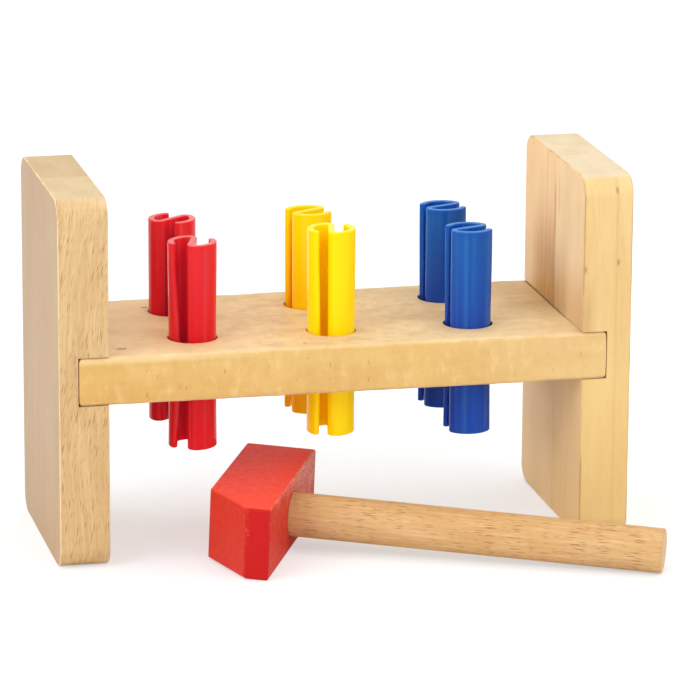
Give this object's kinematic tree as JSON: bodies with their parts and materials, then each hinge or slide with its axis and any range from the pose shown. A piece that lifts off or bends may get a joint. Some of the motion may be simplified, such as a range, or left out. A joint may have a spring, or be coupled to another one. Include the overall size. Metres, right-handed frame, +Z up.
{
  "type": "peg pounding bench",
  "caption": "Wooden pounding bench: a plank housed between two upright end panels, sprung S-section plastic pegs that slide through it, and a loose hammer with a sloped nose.",
  "frame": {"origin": "on the floor, midway between the two end panels and midway from the front of the bench to its back", "axes": "+X along the bench to its right end, +Y from front to back, +Z up"},
  "size_m": [0.2118, 0.1331, 0.134],
  "materials": {
    "beech_panel": "clear satin on beech",
    "beech_plank": "clear satin on beech",
    "beech_handle": "clear satin on turned beech",
    "red_paint": "red paint on wood, satin",
    "red_plastic": "gloss",
    "yellow_plastic": "gloss",
    "blue_plastic": "gloss"
  },
  "bodies": {
    "bench": {"left_front_stave": "beech_panel", "left_rear_stave": "beech_panel", "right_front_stave": "beech_panel", "right_rear_stave": "beech_panel", "plank": "beech_plank"},
    "red_front": {"red_peg_front": "red_plastic"},
    "red_back": {"red_peg_back": "red_plastic"},
    "yellow_front": {"yellow_peg_front": "yellow_plastic"},
    "yellow_back": {"yellow_peg_back": "yellow_plastic"},
    "blue_front": {"blue_peg_front": "blue_plastic"},
    "blue_back": {"blue_peg_back": "blue_plastic"},
    "hammer": {"hammer_head": "red_paint", "hammer_handle": "beech_handle"}
  },
  "joints": [
    {"name": "red_front_slide", "type": "slide", "parent": "bench", "child": "red_front", "axis": [0, 0, 1], "range_m": [-0.0353, 0.0222]},
    {"name": "red_back_slide", "type": "slide", "parent": "bench", "child": "red_back", "axis": [0, 0, 1], "range_m": [-0.0348, 0.0227]},
    {"name": "yellow_front_slide", "type": "slide", "parent": "bench", "child": "yellow_front", "axis": [0, 0, 1], "range_m": [-0.0377, 0.0198]},
    {"name": "yellow_back_slide", "type": "slide", "parent": "bench", "child": "yellow_back", "axis": [0, 0, 1], "range_m": [-0.0354, 0.0221]},
    {"name": "blue_front_slide", "type": "slide", "parent": "bench", "child": "blue_front", "axis": [0, 0, 1], "range_m": [-0.0356, 0.0219]},
    {"name": "blue_back_slide", "type": "slide", "parent": "bench", "child": "blue_back", "axis": [0, 0, 1], "range_m": [-0.0349, 0.0226]},
    {"name": "hammer_pull", "type": "slide", "parent": "bench", "child": "hammer", "axis": [-0.4067, -0.9135, 0], "range_m": [0, 0.15]}
  ]
}
